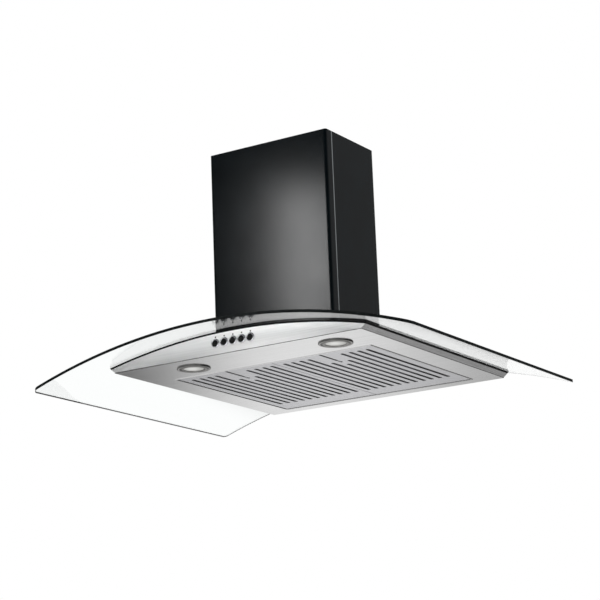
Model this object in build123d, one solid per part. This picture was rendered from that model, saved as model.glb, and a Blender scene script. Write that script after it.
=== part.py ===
"""Curved glass range hood that hangs from a ceiling.

Sizes are in millimetres. Modelling axes: X to the right, Y to the back, Z up, with the origin on the
chimney's upright axis at the level of the canopy's underside. Every piece is moved down at the end, so
that the part's own origin is the middle of the suspension plate's top face, where the hood hangs.
"""

from build123d import *
import math
import os

# ---------------------------------------------------------------- driving sizes
# canopy body
body_width = 592.0
body_depth = 602.0
sheet = 1.2                      # stainless sheet of the body
chimney_setback = 150.5          # body front face to chimney front face
arch_radius = 1342.0             # underside of the glass, a cylinder along Y
arch_crown = 48.0                # underside of the glass above the canopy's underside
side_lean = 1.2                  # outward run of the sides per unit of height
seal_thickness = 4.0
seal_width = 9.0
seal_gap = 0.05                  # between the seal's curved top and the glass
roof_sheet = 1.0
rail_width = 14.0
rail_bottom = 20.0
rail_spacing = 200.0
rail_sheet = 1.5
rail_seat = 0.05                 # rail's flat top to the arched roof
nut_across = 8.0
nut_height = 4.0
# glass
glass_width = 900.0
glass_overhang_front = 79.0
glass_overhang_rear = 23.0
glass_thickness = 6.0
glass_front_corner = 14.0
glass_rear_corner = 10.0
glass_opening_width = 180.0
glass_opening_depth = 128.0
# chimney
chimney_width = 292.0
chimney_depth = 192.0
chimney_top = 479.0
chimney_sheet = 1.0
chimney_corner = 5.0
chimney_glass_gap = 0.4
telescope_gap = 0.7
upper_top_drop = 2.0
# base plate and support frame
base_thickness = 2.0
base_gasket_crown = 3.0          # rubber between glass crown and base plate
base_flange_height = 18.0
seat_gap = 0.3
leg_size = 20.0
leg_wall = 2.0
leg_clearance = 1.3              # legs to the sliding upper chimney
suspension_thickness = 3.0
suspension_top = 470.0
suspension_duct_hole = 164.0
suspension_cable_hole = 24.0
rod_spacing_x = 210.0
rod_spacing_y = 144.0
rod_hole = 9.0
frame_bolt = 5.0
# fasteners
glass_bolt = 5.0
glass_bolt_pitch_y = 160.0
bush_wall = 1.5
bush_flange = 4.0                # the bush's flange between roof and glass
pan_screw = 4.0
screw_head_radius = 3.8
screw_head_height = 2.2
chimney_screw_pitch = 180.0
hole_clearance = 0.2
# blower
box_sheet = 1.0
box_height = 191.0
box_foot = 14.0
wheel_radius = 60.0
wheel_width = 110.0
blade_count = 30
blade_depth = 10.0
blade_thickness = 1.4
scroll_start_radius = 66.0
scroll_end_radius = 86.0
scroll_sheet = 1.5
scroll_side_gap = 3.5
scroll_tongue_angle = 80.0
blower_axis_x = -46.5
blower_axis_height = 150.0
inlet_radius = 46.0
motor_radius = 36.0
shaft_radius = 4.0
shaft_clearance = 0.05
bracket_thickness = 2.0
arm_angles = (90, 210, 330)
arm_width = 12.0
arm_screw_circle = 50.5
# duct
duct_outer_radius = 74.5
duct_wall = 1.2
duct_length = 60.0
duct_flange_rim = 1.5            # flange beyond the duct's outside
duct_flange_thickness = 1.5
flap_thickness = 1.2
flap_edge_gap = 1.6
flap_pin_radius = 1.5
flap_sleeve_radius = 3.0
flap_sleeve_length = 22.0
flap_clearance = 0.06
flap_height = 33.0               # pin above the collar's flange
# electrical
junction_width = 46.0
junction_depth = 90.0
junction_height = 30.0
junction_wall = 2.0
boss_radius = 4.0
gland_radius = 9.0
gland_bore = 4.0
gland_length = 22.0
capacitor_radius = 14.0
capacitor_length = 58.0
lead_radius = 2.5
# controls
button_count = 5
button_pitch = 21.0
button_height = 23.8
button_radius = 6.2
button_proud = 3.2
button_travel = 3.0
bezel_radius = 9.6
bezel_proud = 3.4
bezel_chamfer = 1.6
bezel_wall = 1.0
bezel_gap = 0.3
plunger_radius = 2.9
plunger_clearance = 0.08
plunger_length = 17.0
spring_length = 14.0
spring_radius = 2.0
spring_wire = 0.3
block_depth = 38.0
block_margin = 12.0
block_below = 11.0               # block under the buttons' centre line
block_above = 17.0
lead_exit_rise = 3.2             # lamp leads above the block's underside
lead_bend = 14.0
indicator_radius = 1.5
indicator_rise = 12.6
# lamps
lamp_left_x = -146.0
lamp_right_x = 196.0
lamp_setback = 70.0              # body front face to lamp centre
lamp_ring_radius = 35.0
lamp_cup_radius = 27.0
lamp_cup_height = 17.0
lamp_proud = 2.5
lamp_edge = 1.0                  # height of the ring's outer edge
lamp_groove = 1.2                # groove between the ring's two beads
lens_lip = 1.2                   # lip in front of the lens
lamp_lens_radius = 22.0
lamp_lens_thickness = 2.0
lamp_wall = 1.5
lamp_lead_height = 11.0
clip_sheet = 0.8
clip_offset = 5.0                # clip's side beyond the lamp's middle line
clip_width = 8.0
clip_height = 10.8
clip_foot = 8.0
# filters
opening_width = 472.0
opening_front = 136.0            # body front face to opening
opening_depth = 428.5
lip_width = 1.6
lip_drop = 1.0
lip_offset = 1.2
filter_gap = 1.5
filter_rear_gap = 3.5           # room for the tray's lower rear edge to swing past the plate
filter_height = 9.0
filter_sheet = 1.0
slot_pitch = 19.74
slot_width = 8.5
slot_columns = 11
slot_inner_offset = 15.8         # part centre to the first slot of each filter
slot_front_margin = 22.5
slot_length = 348.0
side_slots_late = 61.0           # the three middle slots start later, behind the latch
middle_slot_late = 90.0
finger_slot_length = 90.0
finger_slot_width = 6.0
mesh_thickness = 3.6
mesh_clearance = 0.5             # mesh to the tray's walls
mesh_cover = 6.0                 # mesh ahead of the first slots
pivot_radius = 2.0
pivot_inset = 1.0
hook_reach = 6.0
hook_thickness = 0.8
hook_width = 40.0
latch_width = 24.0
latch_length = 87.0
latch_tab_length = 12.0
latch_thickness = 1.6
latch_gap = 0.3
latch_travel = 6.0
latch_spring_length = 16.0
latch_spring_radius = 2.2
latch_spring_wire = 0.35

# ---------------------------------------------------------------- derived places
body_front = -(chimney_depth / 2 + chimney_setback)
body_rear = body_front + body_depth
roof_radius = arch_radius - seal_thickness
arch_axis = arch_crown - arch_radius
glass_outer_radius = arch_radius + glass_thickness
glass_crown_top = arch_crown + glass_thickness
base_bottom = glass_crown_top + base_gasket_crown
base_top = base_bottom + base_thickness
lower_inner_x = chimney_width / 2 - chimney_sheet
lower_inner_y = chimney_depth / 2 - chimney_sheet
upper_outer_x = lower_inner_x - telescope_gap
upper_outer_y = lower_inner_y - telescope_gap
upper_inner_x = upper_outer_x - chimney_sheet
upper_inner_y = upper_outer_y - chimney_sheet
leg_outer_x = upper_inner_x - leg_clearance
leg_outer_y = upper_inner_y - leg_clearance
box_half_x = leg_outer_x - leg_wall
box_half_y = leg_outer_y - leg_wall
base_half_y = lower_inner_y - seat_gap
box_top = base_top + box_height
upper_bottom = base_top + base_flange_height + seat_gap
opening_y0 = body_front + opening_front
opening_y1 = opening_y0 + opening_depth
glass_bolt_places = [(sx * rail_spacing / 2, sy * glass_bolt_pitch_y / 2) for sx in (-1, 1) for sy in (-1, 1)]


# ---------------------------------------------------------------- helpers
def block(x0, x1, y0, y1, z0, z1):
    """A box between two corners."""
    return Pos((x0 + x1) / 2, (y0 + y1) / 2, (z0 + z1) / 2) * Box(x1 - x0, y1 - y0, z1 - z0)


def upright(x, y, z0, z1, radius):
    """A round bar along Z."""
    return Pos(x, y, (z0 + z1) / 2) * Cylinder(radius, z1 - z0)


def along_y(x, z, y0, y1, radius):
    """A round bar along Y."""
    return Pos(x, (y0 + y1) / 2, z) * Rot(90, 0, 0) * Cylinder(radius, y1 - y0)


def along_x(y, z, x0, x1, radius):
    """A round bar along X."""
    return Pos((x0 + x1) / 2, y, z) * Rot(0, 90, 0) * Cylinder(radius, x1 - x0)


def under_arch(radius, y0, y1):
    """The solid cylinder along Y whose top is the arch of that radius."""
    return along_y(0, arch_axis, y0, y1, radius)


def column(half_x, half_y, corner, z0, z1, y_middle=0.0):
    """An upright prism with rounded corners."""
    outline = RectangleRounded(2 * half_x, 2 * half_y, corner)
    return Pos(0, y_middle, z0) * extrude(outline, z1 - z0)


def leaning(half, y0, y1, z0, z1):
    """A prism along Y that is twice half wide at the underside's sheet and whose sides lean outwards."""
    low, high = half + side_lean * (z0 - sheet), half + side_lean * (z1 - sheet)
    outline = Polyline((-low, z0), (low, z0), (high, z1), (-high, z1), close=True)
    return extrude(Plane.XZ.offset(-y0) * make_face(outline), amount=y1 - y0, dir=(0, 1, 0))


def slot(x, y0, y1, width, z0, z1):
    """A round-ended cutter along Y."""
    middle = block(x - width / 2, x + width / 2, y0 + width / 2, y1 - width / 2, z0, z1)
    return middle + upright(x, y0 + width / 2, z0, z1, width / 2) + upright(x, y1 - width / 2, z0, z1, width / 2)


def hexagon(x, y, z0, z1, across):
    """A hexagonal prism along Z, such as a nut."""
    return Pos(x, y, z0) * extrude(RegularPolygon(across / math.sqrt(3), 6), z1 - z0)


def save(node, shape):
    """Moves a piece into the part's own frame and writes it."""
    solids = shape.solids() if not isinstance(shape, list) else [s for item in shape for s in item.solids()]
    moved = [Pos(0, 0, -suspension_top) * s for s in solids]
    export_step(moved[0] if len(moved) == 1 else Compound(children=moved), f"parts/{node}.step")


os.makedirs("parts", exist_ok=True)

# ---------------------------------------------------------------- glass canopy
# One sheet of toughened glass bent to a cylinder, cut out under the chimney and drilled for four bolts.
glass_y0 = body_front - glass_overhang_front
glass_y1 = body_rear + glass_overhang_rear
glass_hole_radius = glass_bolt / 2 + hole_clearance + bush_wall + hole_clearance
outline = Pos(0, (glass_y0 + glass_y1) / 2) * Rectangle(glass_width, glass_y1 - glass_y0)
outline = fillet(outline.vertices().group_by(Axis.Y)[0], glass_front_corner)
outline = fillet(outline.vertices().group_by(Axis.Y)[-1], glass_rear_corner)
glass = under_arch(glass_outer_radius, glass_y0, glass_y1) - under_arch(arch_radius, glass_y0 - 1, glass_y1 + 1)
glass = glass & Pos(0, 0, -glass_width / 4) * extrude(outline, glass_width / 2)
glass = glass - column(glass_opening_width / 2, glass_opening_depth / 2, 12, 0, base_top)
for x, y in glass_bolt_places:
    glass = glass - upright(x, y, 0, base_top, glass_hole_radius)
save("glass_canopy", glass)

# Black rubber strip between the glass and the upper edges of the body.
seal = under_arch(arch_radius - seal_gap, body_front, body_rear)
seal = seal - under_arch(roof_radius, body_front - 1, body_rear + 1)
seal = seal & leaning(body_width / 2, body_front, body_rear, 0, base_top)
seal = seal - leaning(body_width / 2 - seal_width, body_front + seal_width, body_rear - seal_width, 0, base_top)
save("glass_seal", seal)

# ---------------------------------------------------------------- body sheets
# The body is a flat pan closed by D-shaped panels front and rear, low side strips that lean outwards, and an
# arched roof.
half_width = body_width / 2
inner_half_width = half_width - sheet * math.sqrt(1 + side_lean ** 2)
button_xs = [(i - (button_count - 1) / 2) * button_pitch for i in range(button_count)]
bezel_sleeve_radius = button_radius + bezel_gap + bezel_wall
front = under_arch(roof_radius, body_front, body_front + sheet)
front = front & leaning(half_width, body_front, body_front + sheet, sheet, base_top)
for x in button_xs:
    front = front - along_y(x, button_height, body_front - 1, body_front + sheet + 1,
                            bezel_sleeve_radius + hole_clearance)
    front = front - along_y(x, button_height + indicator_rise, body_front - 1, body_front + sheet + 1,
                            indicator_radius + hole_clearance)
save("front_panel", front)

# Left side, rear and right side are one folded strip.
surround = under_arch(roof_radius, body_front + sheet, body_rear)
surround = surround & leaning(half_width, body_front + sheet, body_rear, sheet, base_top)
surround = surround - leaning(inner_half_width, body_front, body_rear - sheet, 0, base_top)
save("body_surround", surround)

lamp_y = body_front + lamp_setback
lamp_xs = {"left": lamp_left_x, "right": lamp_right_x}
lamp_hole_radius = lamp_cup_radius + 0.5
bottom = block(-half_width, half_width, body_front, body_rear, 0, sheet)
lip_half = opening_width / 2 + lip_offset
bottom = bottom + block(-lip_half - lip_width, lip_half + lip_width, opening_y0 - lip_offset - lip_width,
                        opening_y1 + lip_offset + lip_width, -lip_drop, 0)
bottom = bottom - block(-lip_half, lip_half, opening_y0 - lip_offset, opening_y1 + lip_offset, -lip_drop, 0)
bottom = bottom - block(-opening_width / 2, opening_width / 2, opening_y0, opening_y1, -1, sheet + 1)
for x in lamp_xs.values():
    bottom = bottom - upright(x, lamp_y, -1, sheet + 1, lamp_hole_radius)
save("bottom_plate", bottom)

# The roof rests on two rails; its middle is open under the blower.
roof_inner_radius = roof_radius - roof_sheet
roof = under_arch(roof_radius, body_front + sheet, body_rear - sheet)
roof = roof - under_arch(roof_inner_radius, body_front, body_rear)
roof = roof & leaning(inner_half_width, body_front, body_rear, 0, base_top)
roof = roof - column(glass_opening_width / 2, glass_opening_depth / 2, 12, 0, base_top)
bolt_hole_radius = glass_bolt / 2 + hole_clearance
for x, y in glass_bolt_places:
    roof = roof - upright(x, y, 0, base_top, bolt_hole_radius)
save("body_roof", roof)

# Two channels stiffen the roof; weld nuts in them take the glass bolts.
rail_parts = []
rail_top = arch_axis + math.sqrt(roof_inner_radius ** 2 - (rail_spacing / 2 + rail_width / 2) ** 2) - rail_seat
rail_y0, rail_y1 = body_front + sheet, body_rear - sheet
for side in (-1, 1):
    x = side * rail_spacing / 2
    rail = block(x - rail_width / 2, x + rail_width / 2, rail_y0, rail_y1, rail_bottom, rail_top)
    rail = rail - block(x - rail_width / 2 + rail_sheet, x + rail_width / 2 - rail_sheet, rail_y0 - 1, rail_y1 + 1,
                        rail_bottom - 1, rail_top - rail_sheet)
    for sy in (-1, 1):
        y = sy * glass_bolt_pitch_y / 2
        rail = rail + hexagon(x, y, rail_top - rail_sheet - nut_height, rail_top - rail_sheet / 2, nut_across)
        rail = rail - upright(x, y, rail_bottom - 1, base_top, glass_bolt / 2)
    rail_parts.append(rail)
save("roof_rails", rail_parts)

# ---------------------------------------------------------------- base plate and glass bolts
gasket = column(leg_outer_x, base_half_y, 3, 0, base_bottom)
gasket = gasket - under_arch(glass_outer_radius, -chimney_depth, chimney_depth)
gasket = gasket - column(glass_opening_width / 2, glass_opening_depth / 2, 12, 0, base_top)
for x, y in glass_bolt_places:
    gasket = gasket - upright(x, y, 0, base_top, bolt_hole_radius)
save("base_gasket", gasket)

base = block(-leg_outer_x, leg_outer_x, -base_half_y, base_half_y, base_bottom, base_top)
for side in (-1, 1):
    y0, y1 = sorted((side * base_half_y, side * (base_half_y - base_thickness)))
    base = base + block(-leg_outer_x + leg_size + 4, leg_outer_x - leg_size - 4, y0, y1,
                        base_top, base_top + base_flange_height)
base = base - column(glass_opening_width / 2, glass_opening_depth / 2, 12, 0, base_top)
screw_height = base_top + base_flange_height / 2
screw_xs = (-chimney_screw_pitch / 2, chimney_screw_pitch / 2)
for x, y in glass_bolt_places:
    base = base - upright(x, y, 0, base_top, bolt_hole_radius)
for x in screw_xs:
    base = base - along_y(x, screw_height, base_half_y - base_thickness - 1, base_half_y + 1,
                          pan_screw / 2 + hole_clearance)
save("base_plate", base)

bolt_head_radius = 4.2
bolt_head_height = 3.2
bolt_seat = base_top + box_sheet
bolts, bushes = [], []
in_glass = under_arch(glass_outer_radius, -chimney_depth, chimney_depth)
in_glass = in_glass - under_arch(roof_radius, -chimney_depth, chimney_depth)
in_seal = in_glass & under_arch(arch_radius, -chimney_depth, chimney_depth)
for x, y in glass_bolt_places:
    bolts.append(upright(x, y, rail_bottom + 8, bolt_seat, glass_bolt / 2)
                 + upright(x, y, bolt_seat, bolt_seat + bolt_head_height, bolt_head_radius))
    bush = in_glass & upright(x, y, 0, base_top, bolt_hole_radius + bush_wall)
    bush = bush + (in_seal & upright(x, y, 0, base_top, glass_hole_radius + bush_flange))
    bushes.append(bush - upright(x, y, 0, base_top, bolt_hole_radius))
save("glass_bolts", bolts)
save("glass_bushes", bushes)

# ---------------------------------------------------------------- chimney
# Two sheet sleeves: the lower one stands on the glass, the upper one slides up out of it.
lower = column(chimney_width / 2, chimney_depth / 2, chimney_corner, 0, chimney_top)
lower = lower - column(lower_inner_x, lower_inner_y, chimney_corner - chimney_sheet, -1, chimney_top + 1)
lower = lower - under_arch(glass_outer_radius + chimney_glass_gap, -chimney_depth, chimney_depth)
for x in screw_xs:
    lower = lower - along_y(x, screw_height, lower_inner_y - 1, chimney_depth, pan_screw / 2 + hole_clearance)
save("chimney_lower", lower)

upper_top = chimney_top - upper_top_drop
upper_corner = chimney_corner - chimney_sheet - telescope_gap
upper = column(upper_outer_x, upper_outer_y, upper_corner, upper_bottom, upper_top)
upper = upper - column(upper_inner_x, upper_inner_y, upper_corner - chimney_sheet, upper_bottom - 1, upper_top + 1)
save("chimney_upper", upper)

screws = []
for x in screw_xs:
    shank = along_y(x, screw_height, base_half_y - base_thickness - 1.2, chimney_depth / 2, pan_screw / 2)
    head = along_y(x, screw_height, chimney_depth / 2, chimney_depth / 2 + screw_head_height, screw_head_radius)
    screws.append(shank + head)

# ---------------------------------------------------------------- support frame
# Four angle legs stand on the base plate and carry the suspension plate, which hangs on threaded rods.
leg_top = suspension_top - suspension_thickness
gland_x, gland_y = -box_half_x + 2 + junction_width / 2, junction_depth / 4
legs, frame_bolts = [], []
bolt_inset = leg_size / 2 + 1
suspension = block(-leg_outer_x, leg_outer_x, -leg_outer_y, leg_outer_y, leg_top, suspension_top)
for sx in (-1, 1):
    for sy in (-1, 1):
        x_out, y_out = sx * leg_outer_x, sy * leg_outer_y
        x_in, y_in = sx * (leg_outer_x - leg_size), sy * (leg_outer_y - leg_size)
        leg = block(*sorted((x_out, x_in)), *sorted((y_out, y_in)), base_top, leg_top)
        leg = leg - block(*sorted((x_out - sx * leg_wall, x_in - sx)), *sorted((y_out - sy * leg_wall, y_in - sy)),
                          base_top - 1, leg_top - leg_wall)
        bx, by = x_out - sx * bolt_inset, y_out - sy * bolt_inset
        hole = upright(bx, by, leg_top - leg_wall - 1, suspension_top + 1, frame_bolt / 2 + hole_clearance)
        legs.append(leg - hole)
        suspension = suspension - hole
        frame_bolts.append(upright(bx, by, leg_top - leg_wall - 4, leg_top - leg_wall, frame_bolt * 0.8)
                           + upright(bx, by, leg_top - leg_wall, suspension_top - 0.2, frame_bolt / 2))
suspension = suspension - upright(0, 0, 0, suspension_top + 1, suspension_duct_hole / 2)
suspension = suspension - upright(gland_x, gland_y, 0, suspension_top + 1, suspension_cable_hole / 2)
for sx in (-1, 1):
    for sy in (-1, 1):
        suspension = suspension - upright(sx * rod_spacing_x / 2, sy * rod_spacing_y / 2, 0, suspension_top + 1,
                                          rod_hole / 2)
save("support_legs", legs)
save("suspension_plate", suspension)
save("frame_bolts", frame_bolts)

# ---------------------------------------------------------------- blower box
# A sheet box round the blower, open below over the glass opening, with the scroll's outlet in its top.
scroll_half = wheel_width / 2 + scroll_side_gap
tongue_x = blower_axis_x + scroll_start_radius * math.cos(math.radians(scroll_tongue_angle))
outlet_x0, outlet_x1 = tongue_x, blower_axis_x + scroll_end_radius
capacitor_x = box_half_x - capacitor_radius - 10
capacitor_z = box_top + capacitor_radius + 2
lead_hole_x = -box_half_x + 11
lead_hole_ys = (6.0, 22.0)
lead_hole_radius = lead_radius + 0.6
box = block(-box_half_x, box_half_x, -box_half_y, box_half_y, base_top, box_top)
box = box - block(-box_half_x + box_sheet, box_half_x - box_sheet, -box_half_y + box_sheet, box_half_y - box_sheet,
                  base_top + box_sheet, box_top - box_sheet)
box = box - block(-box_half_x + box_foot, box_half_x - box_foot, -glass_opening_depth / 2, glass_opening_depth / 2,
                  base_top - 1, base_top + box_sheet + 1)
box = box - block(outlet_x0 + scroll_sheet, outlet_x1 - scroll_sheet, -scroll_half, scroll_half,
                  box_top - box_sheet - 1, box_top + 1)
for x, y in glass_bolt_places:
    box = box - upright(x, y, base_top - 1, bolt_seat + 1, bolt_hole_radius)
for y in lead_hole_ys:
    box = box - upright(lead_hole_x, y, box_top - 3, box_top + 1, lead_hole_radius)
clip = block(capacitor_x - capacitor_radius - 2, capacitor_x + capacitor_radius + 2, -8, 8, box_top, capacitor_z)
box = box + (clip - along_y(capacitor_x, capacitor_z, -20, 20, capacitor_radius))
save("blower_box", box)

# ---------------------------------------------------------------- blower scroll
# Spiral wall: the radius grows evenly from the tongue, round the far side, to the outlet.
scroll_top = box_top - box_sheet


def spiral_points(shrink):
    """Points of the spiral, moved inwards by the sheet's thickness."""
    points = []
    steps = 14
    tongue = scroll_start_radius * math.cos(math.radians(scroll_tongue_angle))
    first = math.degrees(math.acos((tongue + shrink) / (scroll_start_radius - shrink)))
    for i in range(steps + 1):
        radius = scroll_start_radius + (scroll_end_radius - scroll_start_radius) * i / steps - shrink
        angle = math.radians(first + (360 - first) * i / steps)
        points.append((blower_axis_x + radius * math.cos(angle), blower_axis_height + radius * math.sin(angle)))
    return points


def scroll_face(shrink, top):
    """The scroll's outline with its outlet, on the XZ plane."""
    points = spiral_points(shrink)
    outlet = Polyline(points[-1], (points[-1][0], top), (points[0][0], top), points[0])
    return make_face(Spline(points) + outlet)


def scroll_solid(shrink, top, y0, y1):
    """The outline carried along Y."""
    face = Plane.XZ.offset(-y0) * scroll_face(shrink, top)
    return extrude(face, amount=y1 - y0, dir=(0, 1, 0))


wall = scroll_solid(0, scroll_top, -scroll_half, scroll_half)
wall = wall - scroll_solid(scroll_sheet, scroll_top + 1, -scroll_half - 1, scroll_half + 1)
save("scroll_wall", wall)
front_plate = scroll_solid(0, scroll_top, -scroll_half - scroll_sheet, -scroll_half)
rear_plate = scroll_solid(0, scroll_top, scroll_half, scroll_half + scroll_sheet)
inlet = along_y(blower_axis_x, blower_axis_height, -chimney_depth, chimney_depth, inlet_radius)
save("scroll_plate_front", front_plate - inlet)
arm_holes = []
for angle in arm_angles:
    hx = blower_axis_x + arm_screw_circle * math.cos(math.radians(angle))
    hz = blower_axis_height + arm_screw_circle * math.sin(math.radians(angle))
    arm_holes.append(along_y(hx, hz, 0, chimney_depth, pan_screw / 2))
rear_plate = rear_plate - inlet
for hole in arm_holes:
    rear_plate = rear_plate - hole
save("scroll_plate_rear", rear_plate)

# Wheel: centre disc with a hub, a ring at each end and straight raked blades between them.
disc_half = 1.5
hub_radius = 9.0
ring_width = 4.0
wheel = along_y(0, 0, -disc_half, disc_half, wheel_radius) + along_y(0, 0, -9, disc_half, hub_radius)
for side in (-1, 1):
    y0, y1 = sorted((side * wheel_width / 2, side * (wheel_width / 2 - ring_width)))
    wheel = wheel + (along_y(0, 0, y0, y1, wheel_radius)
                     - along_y(0, 0, y0 - 1, y1 + 1, wheel_radius - blade_depth))
for i in range(blade_count):
    blade = Box(blade_depth - 1, wheel_width - ring_width, blade_thickness)
    blade = Pos(wheel_radius - blade_depth / 2 - 0.2, 0, 0) * Rot(0, 24, 0) * blade
    wheel = wheel + Rot(0, 360 / blade_count * i, 0) * blade
wheel = wheel - along_y(0, 0, -10, disc_half + 1, shaft_radius)
save("blower_wheel", Pos(blower_axis_x, 0, blower_axis_height) * wheel)

motor_y0 = disc_half + 3.0
bracket_y0 = scroll_half + scroll_sheet
motor_y1 = bracket_y0
shaft_end = motor_y1 - 6
motor = along_y(0, 0, motor_y0 + 3, motor_y1, motor_radius) + along_y(0, 0, motor_y0, motor_y0 + 3, motor_radius * 0.6)
motor = motor - along_y(0, 0, motor_y0 - 1, shaft_end + 1, shaft_radius + shaft_clearance)
save("motor", Pos(blower_axis_x, 0, blower_axis_height) * motor)
save("motor_shaft", along_y(blower_axis_x, blower_axis_height, -9, shaft_end, shaft_radius))

bracket = along_y(0, 0, bracket_y0, bracket_y0 + bracket_thickness, motor_radius * 0.7)
for angle in arm_angles:
    arm = block(0, arm_screw_circle + 5, bracket_y0, bracket_y0 + bracket_thickness, -arm_width / 2, arm_width / 2)
    bracket = bracket + Rot(0, -angle, 0) * arm
bracket = Pos(blower_axis_x, 0, blower_axis_height) * bracket
for hole in arm_holes:
    bracket = bracket - hole
save("motor_bracket", bracket)
head_y = bracket_y0 + bracket_thickness
for angle in arm_angles:
    hx = blower_axis_x + arm_screw_circle * math.cos(math.radians(angle))
    hz = blower_axis_height + arm_screw_circle * math.sin(math.radians(angle))
    screws.append(along_y(hx, hz, scroll_half - 1, head_y, pan_screw / 2)
                  + along_y(hx, hz, head_y, head_y + screw_head_height, screw_head_radius))

# ---------------------------------------------------------------- duct collar and damper
collar_top = box_top + duct_flange_thickness + duct_length
duct_inner_radius = duct_outer_radius - duct_wall
flap_z = box_top + duct_flange_thickness + flap_height
flange_half = duct_outer_radius + duct_flange_rim
collar = block(-flange_half, flange_half, -flange_half, flange_half, box_top, box_top + duct_flange_thickness)
collar = collar - block(outlet_x0 + scroll_sheet, outlet_x1 - scroll_sheet, -scroll_half, scroll_half,
                        box_top - 1, box_top + duct_flange_thickness + 1)
tube = upright(0, 0, box_top + duct_flange_thickness, collar_top, duct_outer_radius)
tube = tube - upright(0, 0, box_top, collar_top + 1, duct_inner_radius)
stop_z1 = flap_z - flap_thickness / 2 - seat_gap
stop = upright(0, 0, stop_z1 - 1.5, stop_z1, duct_inner_radius)
stop = stop - upright(0, 0, box_top, collar_top, duct_inner_radius - 3)
collar = collar + tube + stop
collar = collar - along_x(0, flap_z, -chimney_width, chimney_width, flap_pin_radius)
save("duct_collar", collar)
save("flap_pin", along_x(0, flap_z, -duct_outer_radius + 0.2, duct_outer_radius - 0.2, flap_pin_radius))

# The two half-round flaps share the pin: each has two sleeves, and a notch round the other's sleeves.
flap_radius = duct_inner_radius - flap_edge_gap
sleeve_middles = {"front": (-45.0, 15.0), "rear": (-15.0, 45.0)}
for name, side in (("front", -1), ("rear", 1)):
    y0, y1 = sorted((0, side * duct_outer_radius))
    flap = upright(0, 0, flap_z - flap_thickness / 2, flap_z + flap_thickness / 2, flap_radius)
    flap = flap & block(-duct_outer_radius, duct_outer_radius, y0, y1, box_top, collar_top)
    clear = flap_sleeve_radius + 0.6
    flap = flap - block(-duct_outer_radius, duct_outer_radius, -clear, clear, box_top, collar_top)
    for middle in sleeve_middles[name]:
        x0, x1 = middle - flap_sleeve_length / 2, middle + flap_sleeve_length / 2
        y0, y1 = sorted((0, side * (clear + 1)))
        flap = flap + block(x0, x1, y0, y1, flap_z - flap_thickness / 2, flap_z + flap_thickness / 2)
        flap = flap + along_x(0, flap_z, x0, x1, flap_sleeve_radius)
    flap = flap - along_x(0, flap_z, -chimney_width, chimney_width, flap_pin_radius + flap_clearance)
    save(f"damper_flap_{name}", flap)

# ---------------------------------------------------------------- electrical parts on the box
jx0 = -box_half_x + 2
jx1 = jx0 + junction_width
jy = junction_depth / 2
jz1 = box_top + junction_height
junction = block(jx0, jx1, -jy, jy, box_top, jz1)
junction = junction - block(jx0 + junction_wall, jx1 - junction_wall, -jy + junction_wall, jy - junction_wall,
                            box_top + junction_wall, jz1 + 1)
for y in lead_hole_ys:
    junction = junction - upright(lead_hole_x, y, box_top - 1, box_top + junction_wall + 1, lead_hole_radius)
lid = block(jx0, jx1, -jy, jy, jz1, jz1 + junction_wall)
lid = fillet(lid.edges().filter_by(Axis.Z), 1.5)
boss_inset = junction_wall + boss_radius - 0.6
for x, y in ((jx0 + boss_inset, -jy + boss_inset), (jx1 - boss_inset, jy - boss_inset)):
    junction = junction + upright(x, y, box_top + junction_wall, jz1, boss_radius)
    junction = junction - upright(x, y, jz1 - 12, jz1 + 1, pan_screw / 2)
    lid = lid - upright(x, y, jz1 - 1, jz1 + 5, pan_screw / 2)
    head_z = jz1 + junction_wall
    screws.append(upright(x, y, jz1 - 10, head_z, pan_screw / 2)
                  + upright(x, y, head_z, head_z + screw_head_height, screw_head_radius))
lid_top = jz1 + junction_wall
lid = lid - upright(gland_x, gland_y, jz1 - 1, lid_top + 1, gland_radius - 2 + hole_clearance)
save("junction_box", junction)
save("junction_lid", lid)
save("pan_screws", screws)
gland = upright(gland_x, gland_y, jz1 - 4, lid_top, gland_radius - 2)
gland = gland + hexagon(gland_x, gland_y, lid_top, lid_top + 5, 2 * gland_radius)
gland = gland + upright(gland_x, gland_y, lid_top + 5, jz1 - 4 + gland_length, gland_radius - 0.5)
gland = gland - upright(gland_x, gland_y, 0, suspension_top, gland_bore)
save("mains_gland", gland)
terminal = block(jx0 + junction_wall + 3, jx1 - junction_wall - 3, -jy + 12, -jy + 30,
                 box_top + junction_wall, box_top + junction_wall + 14)
for i in range(3):
    x = gland_x + (i - 1) * 11
    terminal = terminal - upright(x, -jy + 21, box_top + junction_wall + 6, jz1, 3)
save("terminal_block", terminal)

capacitor = along_y(capacitor_x, capacitor_z, -capacitor_length / 2, capacitor_length / 2, capacitor_radius)
for dx in (-5, 5):
    capacitor = capacitor + block(capacitor_x + dx - 1, capacitor_x + dx + 1, capacitor_length / 2, capacitor_length / 2 + 7,
                                  capacitor_z - 3, capacitor_z + 3)
save("capacitor", capacitor)

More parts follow.
